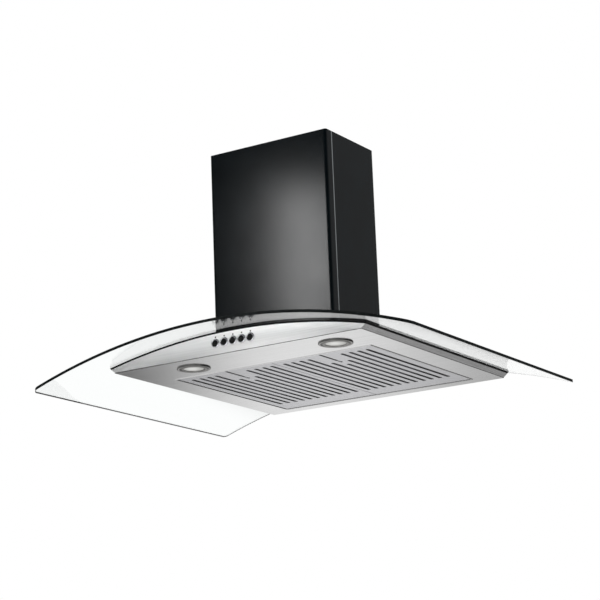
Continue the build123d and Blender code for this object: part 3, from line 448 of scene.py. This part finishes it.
def sleeve(name, half_x, half_y, radius, foot, top, rows=7):
    """Upright sleeve: the outer plan rises from foot(x) to the top, and the inner plan comes back down."""
    outer = folded_plan(half_x, half_y, radius)
    inner = folded_plan(half_x - chimney_sheet, half_y - chimney_sheet, radius - chimney_sheet)
    climb = np.linspace(0.0, 1.0, rows)[:, None]
    outside = foot(outer[:, 0]) + climb * (top - foot(outer[:, 0]))
    inside = foot(inner[:, 0]) + climb[::-1] * (top - foot(inner[:, 0]))
    plan = np.concatenate([np.repeat(outer[None], rows, 0), np.repeat(inner[None], rows, 0)])
    points = np.concatenate([plan, np.concatenate([outside, inside])[:, :, None]], -1)
    return skin(name, points[None], along=True)


def painted(name, colour, roughness, coat, highlight_lines=()):
    """Powder coat: very dark, with the slow ripple of orange peel and a thin clear gloss. On the sides, a thin
    lighter grey line at each listed depth is a painted highlight, standing for the light caught by the edge of
    a sheet that laps over the next one."""
    finish, start = new_finish(name)
    place = start.node("TexCoord", out=3)
    peel = start.node("TexNoise", {"Vector": place, "Scale": 240.0, "Detail": 2.0, "Roughness": 0.4})
    dust = start.node("TexNoise", {"Vector": place, "Scale": 14.0, "Detail": 4.0, "Roughness": 0.6})
    bump = start.node("Bump", {"Height": peel, "Strength": 0.12, "Distance": 0.0004})
    light = tuple(1.7 * c for c in colour[:3]) + (1.0,)
    tone = dust.ramp(0.35, 0.75).blend(colour, light)
    if highlight_lines:
        sideways = start.node("SeparateXYZ", {"Vector": place}, out=0)
        at_side = start.maths("ABSOLUTE", sideways) > chimney_half_x - 0.0005
        depth = start.node("SeparateXYZ", {"Vector": place}, out=1)
        # Painted highlight: a lighter grey line on both side faces.
        for middle, half in highlight_lines:
            lighter_part = at_side * (start.maths("ABSOLUTE", depth - middle) < half)
            tone = lighter_part.blend(tone, (0.22, 0.235, 0.24, 1.0))
    paint = start.node("BsdfPrincipled", {"Base Color": tone, "Normal": bump,
                                          "Roughness": roughness + 0.05 * (dust - 0.5), "IOR": 1.45,
                                          "Specular IOR Level": 0.4, "Coat Weight": coat,
                                          "Coat Roughness": 0.12})
    start.node("OutputMaterial", {"Surface": paint})
    return finish


# The lower sleeve's painted highlight: a lighter line on each side face, about 23 mm behind the front fold.
highlight_depth, highlight_half = -0.0735, 0.0016
black_paint = painted("black powder coat", (0.0010, 0.0026, 0.0036, 1.0), 0.17, 0.0, [(highlight_depth, highlight_half)])
lower_sleeve = sleeve("chimney_lower_sleeve", chimney_half_x, chimney_half_y, chimney_corner,
                      lambda x: arch(x, arch_radius + glass_thickness + glass_gap), chimney_top)
lower_sleeve.data.materials.append(black_paint)
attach(lower_sleeve, "hood")
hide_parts("chimney_lower")

inset = chimney_sheet + telescope_gap
upper_sleeve = sleeve("chimney_upper_sleeve", chimney_half_x - inset, chimney_half_y - inset,
                      chimney_corner - inset, lambda x: np.full_like(x, upper_bottom), upper_top)
upper_sleeve.data.materials.append(black_paint)
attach(upper_sleeve, "upper_chimney")
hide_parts("chimney_upper")

# ---------------------------------------------------------------- push buttons
# Five round black caps on plungers, each in a bright turned bezel with a small indicator lens above it.
# The bezels are pressed through the front panel into the switch block, where a spring returns each plunger.
panel_face = -0.2465
button_xs = 0.021 * (np.arange(5) - 2)
button_height = underside + 0.0238
facing = np.array([(1.0, 0.0, 0.0), (0.0, 0.0, 1.0), (0.0, -1.0, 0.0)])
upright = np.array([(1.0, 0.0, 0.0), (0.0, 1.0, 0.0), (0.0, 0.0, 1.0)])


def turned(name, profile, centres, frame_axes, steps=48, crease=30.0):
    """Turned pieces: a profile of (radius, height), anticlockwise round its section, is carried round the third
    of frame_axes at each centre. The point at angle t is
    centre + radius cos t e1 + radius sin t e2 + height e3."""
    profile = np.array(profile, float)
    t = np.linspace(0.0, 2 * math.pi, steps, endpoint=False)
    ring = np.stack([np.cos(t), np.sin(t), np.zeros_like(t)], -1)
    local = profile[:, 0, None, None] * ring[None] + profile[:, 1, None, None] * np.array([0.0, 0.0, 1.0])
    world_points = local @ frame_axes
    points = world_points[None] + np.array(centres, float)[:, None, None, :]
    return skin(name, points, crease)


def rounded(radius, height, bend, steps=6, dish=0.0):
    """Profile of a cap's rounded rim: a quarter circle of the bend, then in to the axis with a slight dish."""
    t = np.linspace(0.0, math.pi / 2, steps)
    rim = [(radius - bend + bend * math.cos(a), height - bend + bend * math.sin(a)) for a in t]
    face = [(s * (radius - bend), height - dish * (1 - s ** 2)) for s in (0.8, 0.55, 0.3, 0.0)]
    return rim + face


cap_radius, cap_proud = 0.0062, 0.0032
cap_back = 0.0012
plunger_radius, plunger_end = 0.0029, 0.0182
black_plastic = moulded("black button plastic", (0.003, 0.003, 0.003, 1.0), (0.007, 0.007, 0.007, 1.0), 0.34,
                        grain=1500.0, depth=5e-5, sheen=0.15)
plunger = [(0.0, -plunger_end), (plunger_radius - 0.0004, -plunger_end),
           (plunger_radius, -plunger_end + 0.0004), (plunger_radius, -cap_back), (cap_radius, -cap_back)]
for number, x in enumerate(button_xs, 1):
    cap = turned(f"push_button_{number}", plunger + rounded(cap_radius, cap_proud, 0.001, dish=0.0004),
                 [(x, panel_face, button_height)], facing)
    cap.data.materials.append(black_plastic)
    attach(cap, f"button_{number}")
    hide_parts(f"button_{number}")


def polished(name, colour, roughness):
    """Plated or polished metal with faint rub marks."""
    finish, start = new_finish(name)
    place = start.node("TexCoord", out=3)
    rubs = start.node("TexNoise", {"Vector": place, "Scale": 160.0, "Detail": 3.0})
    bump = start.node("Bump", {"Height": rubs, "Strength": 0.05, "Distance": 0.0002})
    shade = tuple(0.86 * c for c in colour[:3]) + (1.0,)
    metal = start.node("BsdfPrincipled", {"Base Color": rubs.ramp(0.3, 0.7).blend(shade, colour),
                                          "Metallic": 1.0, "Roughness": roughness + 0.08 * (rubs - 0.5),
                                          "Normal": bump})
    start.node("OutputMaterial", {"Surface": metal})
    return finish


chrome = polished("bezel chrome", (0.88, 0.88, 0.90, 1.0), 0.12)
bore, sleeve_radius, bezel_radius, bezel_proud = 0.0065, 0.0075, 0.0096, 0.0034
bezel = [(bore, -0.0044), (sleeve_radius, -0.0044), (sleeve_radius, 0.0), (bezel_radius, 0.0),
         (bezel_radius, 0.0016), (bezel_radius - 0.0005, 0.0025),
         (bezel_radius - 0.0016, bezel_proud - 0.0001), (bezel_radius - 0.0019, bezel_proud),
         (bore + 0.0009, bezel_proud - 0.0001), (bore + 0.0002, 0.0026), (bore, 0.0020), (bore, -0.0044)]
bezels = turned("button_bezels_turned", bezel, [(x, panel_face, button_height) for x in button_xs], facing, 40)
bezels.data.materials.append(chrome)
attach(bezels, "hood")
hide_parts("button_bezels")

pin_radius, pin_rise = 0.0015, 0.0126
lamp_pin = [(0.0, -0.007), (pin_radius, -0.007), (pin_radius, 0.0)] + rounded(pin_radius, 0.0008, 0.0007, 4)
pins = turned("indicator_lenses_turned", lamp_pin,
              [(x, panel_face, button_height + pin_rise) for x in button_xs], facing, 20)
smoked = moulded("smoked lens", (0.008, 0.008, 0.009, 1.0), (0.014, 0.013, 0.013, 1.0), 0.16,
                 grain=400.0, depth=2e-5, sheen=0.25)
pins.data.materials.append(smoked)
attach(pins, "hood")
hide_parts("indicator_lenses")
grey_plastic = moulded("grey switch plastic", (0.16, 0.16, 0.165, 1.0), (0.20, 0.20, 0.205, 1.0), 0.5)
dress(grey_plastic, "switch_block")
zinc_plate = polished("zinc plated steel", (0.66, 0.67, 0.70, 1.0), 0.30)


def coil(node, wire, pitch, per_turn=24, sides=8):
    """Coil spring along Y that fills the box of its node. At angle t the wire's middle is (x + r cos t, y +
    pitch t / 2 pi, z + r sin t). Round it, the surface at angle phi is wire (cos phi out + sin phi beside),
    with out = (cos t, 0, sin t) and beside square to out and to the path."""
    low, high = (np.array(list(corner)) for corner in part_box(node))
    middle = (low + high) / 2
    radius = (high[0] - low[0]) / 2 - wire
    turns = (high[1] - low[1] - 2 * wire) / pitch
    t = np.linspace(0.0, 2 * math.pi * turns, int(per_turn * turns))[:, None, None]
    phi = np.linspace(0.0, 2 * math.pi, sides, endpoint=False)[None, :, None]
    zero = np.zeros_like(t)
    slope = pitch / (2 * math.pi * radius)
    path = np.concatenate([middle[0] + radius * np.cos(t), low[1] + wire + pitch * t / (2 * math.pi),
                           middle[2] + radius * np.sin(t)], -1)
    out = np.concatenate([np.cos(t), zero, np.sin(t)], -1)
    beside = np.concatenate([slope * np.sin(t), zero + 1.0, -slope * np.cos(t)], -1) / math.hypot(1.0, slope)
    tube = path + wire * (np.cos(phi) * out + np.sin(phi) * beside)
    ends = [np.repeat(path[k:k + 1], sides, 1) for k in (0, len(path) - 1)]
    spring = skin(f"{node}_coil", np.concatenate([ends[0], tube, ends[1]])[None], 60.0)
    spring.data.materials.append(zinc_plate)
    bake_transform(spring)
    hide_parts(node)


button_wire, button_pitch = 0.0003, 0.0022
for number in range(1, 6):
    coil(f"button_spring_{number}", button_wire, button_pitch)

# ---------------------------------------------------------------- lamps
# Two round downlights pushed up through the underside: a spun trim ring with a stepped face, a frosted lens
# behind its lip, and a cup with the lamp module, held in the sheet by spring clips.
lamp_places = [(-0.146, -0.1765, underside), (0.196, -0.1765, underside)]
ring_radius, cup_radius, cup_height, cup_wall = 0.035, 0.027, 0.017, 0.0015
lens_radius, lamp_proud = 0.022, 0.0025
ring_edge, groove_height, seat_height, lens_back = -0.0010, -0.0013, -0.0013, 0.0007
ring_profile = [(cup_radius, 0.0), (ring_radius, 0.0), (ring_radius, ring_edge),
                (ring_radius - 0.0004, -0.0019), (ring_radius - 0.0010, -0.0024),
                (ring_radius - 0.0018, -lamp_proud), (ring_radius - 0.0036, -lamp_proud),
                (ring_radius - 0.0043, -0.0023), (ring_radius - 0.0050, groove_height),
                (ring_radius - 0.0072, groove_height), (ring_radius - 0.0078, -0.0023),
                (ring_radius - 0.0086, -lamp_proud), (lens_radius, -lamp_proud),
                (lens_radius - 0.0009, -0.0023), (lens_radius - 0.0014, seat_height),
                (lens_radius + 0.0002, seat_height), (lens_radius + 0.0002, lens_back),
                (cup_radius - cup_wall, lens_back + cup_wall), (cup_radius - cup_wall, cup_height - cup_wall),
                (0.0, cup_height - cup_wall), (0.0, cup_height), (cup_radius, cup_height), (cup_radius, 0.0)]
rings = turned("lamp_rings_spun", ring_profile[::-1], lamp_places, upright, 72, 24.0)
ring_finish, start = new_finish("spun trim ring")
place = start.node("TexCoord", out=3)
spinning = start.node("TexNoise", {"Vector": place, "Scale": 700.0, "Detail": 2.0})
near = [start.node("VectorMath", {0: start.node("VectorMath", {0: place, 1: centre}, operation="SUBTRACT")},
                   out=1, operation="LENGTH") for centre in lamp_places]
out_from = start.maths("MINIMUM", near[0], near[1])
# Tones painted by radius stand in for light and shade on the one spun metal: painted shade in the groove, a
# painted highlight on the proud flat band, mid greys on the inner step and the outer rim.
trim_light_and_shade = out_from.ramp(0.0275, 0.0285).blend((0.20, 0.195, 0.185, 1.0), (0.05, 0.05, 0.05, 1.0))
trim_light_and_shade = out_from.ramp(0.0298, 0.0305).blend(trim_light_and_shade, (0.42, 0.41, 0.40, 1.0))
trim_light_and_shade = out_from.ramp(0.0328, 0.0335).blend(trim_light_and_shade, (0.13, 0.13, 0.125, 1.0))
start.node("OutputMaterial", {"Surface": start.node(
    "BsdfPrincipled", {"Base Color": trim_light_and_shade, "Metallic": 1.0, "Roughness": 0.24 + 0.1 * spinning,
                       "Normal": start.node("Bump", {"Height": spinning, "Strength": 0.1,
                                                     "Distance": 0.0001})})})
rings.data.materials.append(ring_finish)
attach(rings, "hood")
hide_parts("lamp_rings")

lens_profile = [(lens_radius, lens_back), (0.0, lens_back), (0.0, seat_height + 0.0003),
                (lens_radius * 0.35, seat_height + 0.0002), (lens_radius * 0.7, seat_height + 0.0001),
                (lens_radius * 0.92, seat_height), (lens_radius, seat_height), (lens_radius, lens_back)]
lenses = turned("lamp_lenses_moulded", lens_profile[::-1], lamp_places, upright, 48)
frosted, start = new_finish("frosted lens")
place = start.node("TexCoord", out=3)
bulb_shift = 0.003
near = [start.node("VectorMath", {0: start.node("VectorMath", {0: place, 1: (x - bulb_shift, y, z)},
                                                operation="SUBTRACT")},
                   out=1, operation="LENGTH") for x, y, z in lamp_places]
off_centre = start.maths("MINIMUM", near[0], near[1])
pebbles = start.node("TexVoronoi", {"Vector": place, "Scale": 620.0})
spread = 1.0 - off_centre.ramp(0.003, 0.021)
glow = spread.blend((0.30, 0.30, 0.28, 1.0), (0.95, 0.94, 0.90, 1.0))
# The base colour is painted lighter towards the bulb: a painted pool of light, besides the lens's faint glow.
start.node("OutputMaterial", {"Surface": start.node(
    "BsdfPrincipled", {"Base Color": spread.blend((0.52, 0.52, 0.50, 1.0), (0.74, 0.74, 0.72, 1.0)),
                       "Roughness": 0.30 + 0.1 * pebbles,
                       "Emission Color": glow, "Emission Strength": 0.12,
                       "Normal": start.node("Bump", {"Height": pebbles, "Strength": 0.25,
                                                     "Distance": 0.0003})})})
lenses.data.materials.append(frosted)
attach(lenses, "hood")
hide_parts("lamp_lenses")
white_plastic = moulded("white plastic", (0.62, 0.62, 0.60, 1.0), (0.70, 0.70, 0.68, 1.0), 0.45)
dress(white_plastic, "lamp_modules")

# ---------------------------------------------------------------- grease filters
# Two stainless cassettes side by side: a slotted tray, a pad of expanded aluminium mesh in it, and a sliding
# latch with its spring that a finger pulls back through the long middle slot.
filter_steel = brushed("filter steel", (0.60, 0.60, 0.62, 1.0), (0.70, 0.70, 0.72, 1.0), 0.30,
                       (380.0, 5.0, 380.0))
dress(filter_steel, "filter_tray_left", "filter_tray_right")

latch_finish, start = new_finish("latch steel")
place = start.node("TexCoord", out=3)
height = start.node("SeparateXYZ", {"Vector": place}, out=2)
mottling = start.node("TexNoise", {"Vector": place, "Scale": 300.0, "Detail": 3.0})
# Above the finger tab the latch is painted near-black: painted shade inside the cassette. The tab at the
# underside keeps a grey steel tone.
shade_black = mottling.blend((0.006, 0.006, 0.006, 1.0), (0.02, 0.02, 0.02, 1.0))
tab_top = underside + 0.0011
latch_tone = (height < tab_top).blend(shade_black, (0.42, 0.42, 0.43, 1.0))
start.node("OutputMaterial", {"Surface": start.node(
    "BsdfPrincipled", {"Base Color": latch_tone, "Metallic": 0.8, "Roughness": 0.35 + 0.15 * mottling})})
dress(latch_finish, "filter_latch_left", "filter_latch_right")

pad_metal, start = new_finish("expanded aluminium")
place = start.node("TexCoord", out=3)
drawn_out = start.node("Mapping", {"Vector": place, "Scale": (1.0, 0.6, 1.0)})
diamonds = start.node("TexVoronoi", {"Vector": drawn_out, "Scale": 300.0}, feature="DISTANCE_TO_EDGE")
strands = 1.0 - diamonds.ramp(0.02, 0.14)
sides = start.node("SeparateXYZ", {"Vector": place}, out=0)
depths = start.node("SeparateXYZ", {"Vector": place}, out=1)
rear_shade, end_shade = (0.176, 0.186), (0.199, 0.205)        # where the painted shade begins and is full
# Towards the rear and the outer ends the pad is painted near-black and less metallic: painted shade deep in the
# cassette, seen through the slots.
pad_shade = start.maths("MAXIMUM", depths.ramp(*rear_shade), start.maths("ABSOLUTE", sides).ramp(*end_shade))
lighter_part = strands.blend((0.04, 0.04, 0.045, 1.0), (0.24, 0.24, 0.26, 1.0))
pad_colour = pad_shade.blend(lighter_part, (0.004, 0.004, 0.004, 1.0))
start.node("OutputMaterial", {"Surface": start.node(
    "BsdfPrincipled", {"Base Color": pad_colour, "Metallic": 0.5 * (1.0 - pad_shade),
                       "Roughness": 0.45 + 0.3 * diamonds,
                       "Normal": start.node("Bump", {"Height": strands, "Strength": 0.6,
                                                     "Distance": 0.0006})})})
pad_low, pad_high = underside + 0.0011, underside + 0.0045
pad_front, pad_rear = -0.0925, 0.3130
pad_inner, pad_outer, pad_middle = 0.00225, 0.2330, 0.1145
latch_half, latch_rear = 0.015, 0.004
skin_depth = 0.0004
wave_height, wave_x, wave_y = 0.00035, 0.0115, 0.017
latch_wire, latch_pitch = 0.00035, 0.0026
for side, word in ((-1, "left"), (1, "right")):
    latch_x = side * pad_middle
    x_lines = knots(np.linspace(pad_inner, pad_outer, 84) * side,
                    np.array([latch_x - latch_half, latch_x + latch_half]))
    y_lines = knots(np.linspace(pad_front, pad_rear, 146), np.array([latch_rear]))
    pad_x, pad_y = np.meshgrid(x_lines, y_lines, indexing="ij")
    ripple = wave_height * np.sin(2 * math.pi * pad_x / wave_x) * np.sin(2 * math.pi * pad_y / wave_y)
    middle_x = (pad_x[1:, 1:] + pad_x[:-1, :-1]) / 2
    middle_y = (pad_y[1:, 1:] + pad_y[:-1, :-1]) / 2
    room_for_latch = (np.abs(middle_x - latch_x) < latch_half) & (middle_y < latch_rear)
    pad = slab(f"mesh_pad_{word}", pad_x, pad_y, pad_low + skin_depth + ripple, pad_high - skin_depth + ripple,
               ~room_for_latch)
    pad.data.materials.append(pad_metal)    # its two faces
    pad.data.materials.append(pad_metal)    # its walls
    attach(pad, f"filter_{word}")
    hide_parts(f"filter_mesh_{word}")
    coil(f"latch_spring_{word}", latch_wire, latch_pitch)

# ---------------------------------------------------------------- inside of the body
# Galvanised sheet that the filters hide: the arched roof on two rails with weld nuts, and the base plate that
# the bolts pull down on the glass. Screws, bolts and springs are zinc plated.


def galvanised(name, dark, light, roughness):
    """Hot-dipped zinc: crystals of different greys, about a centimetre across, dulled by a fine grain."""
    finish, start = new_finish(name)
    place = start.node("TexCoord", out=3)
    crystals = start.node("TexVoronoi", {"Vector": place, "Scale": 95.0}, out=1)
    tone = start.node("SeparateColor", {"Color": crystals}, out=0)
    grain = start.node("TexNoise", {"Vector": place, "Scale": 420.0, "Detail": 3.0})
    bump = start.node("Bump", {"Height": grain, "Strength": 0.08, "Distance": 0.0003})
    metal = start.node("BsdfPrincipled", {"Base Color": (0.7 * tone + 0.3 * grain).blend(dark, light),
                                          "Metallic": 0.9, "Roughness": roughness + 0.14 * (tone - 0.5),
                                          "Normal": bump})
    start.node("OutputMaterial", {"Surface": metal})
    return finish


zinc_sheet = galvanised("galvanised sheet", (0.42, 0.43, 0.45, 1.0), (0.62, 0.63, 0.65, 1.0), 0.38)
dress(zinc_sheet, "body_roof", "roof_rails", "base_plate")
dress(zinc_plate, "glass_bolts", "pan_screws", "frame_bolts", "lamp_clips", "flap_pin", "motor_shaft")

# ---------------------------------------------------------------- support frame
# Four galvanised angle legs stand on the base plate and carry the suspension plate, which hangs on threaded
# rods from the ceiling; the duct and the cable pass through it.
dress(zinc_sheet, "support_legs", "suspension_plate")

# ---------------------------------------------------------------- blower
# A galvanised box round a centrifugal blower: scroll, forward-raked wheel and a painted motor on a three-armed
# bracket. The wheel is pressed aluminium.
dress(zinc_sheet, "blower_box", "scroll_wall", "scroll_plate_front", "scroll_plate_rear", "motor_bracket")
wheel_metal = brushed("wheel aluminium", (0.70, 0.71, 0.73, 1.0), (0.80, 0.81, 0.83, 1.0), 0.34,
                      (300.0, 8.0, 300.0))
dress(wheel_metal, "blower_wheel")
motor_paint = painted("motor enamel", (0.020, 0.022, 0.026, 1.0), 0.42, 0.2)
dress(motor_paint, "motor")

# ---------------------------------------------------------------- duct and damper
# A round collar takes the 150 mm duct; two half-round flaps on one pin fall shut against its stop ring.
dress(zinc_sheet, "duct_collar")
flap_metal = brushed("flap aluminium", (0.62, 0.63, 0.65, 1.0), (0.74, 0.75, 0.77, 1.0), 0.36,
                     (6.0, 320.0, 320.0))
dress(flap_metal, "damper_flap_front", "damper_flap_rear")

# ---------------------------------------------------------------- electrics
# Moulded junction box with its lid and cable gland, terminal block, capacitor and sheathed leads on top of the
# blower box and through the body.
dress(grey_plastic, "junction_box", "junction_lid")
gland_plastic = moulded("black gland plastic", (0.012, 0.012, 0.012, 1.0), (0.02, 0.02, 0.02, 1.0), 0.4)
dress(gland_plastic, "mains_gland")
dress(white_plastic, "terminal_block", "capacitor")
sheath = moulded("grey lead sheath", (0.20, 0.20, 0.21, 1.0), (0.26, 0.26, 0.27, 1.0), 0.48)
dress(sheath, "wiring")
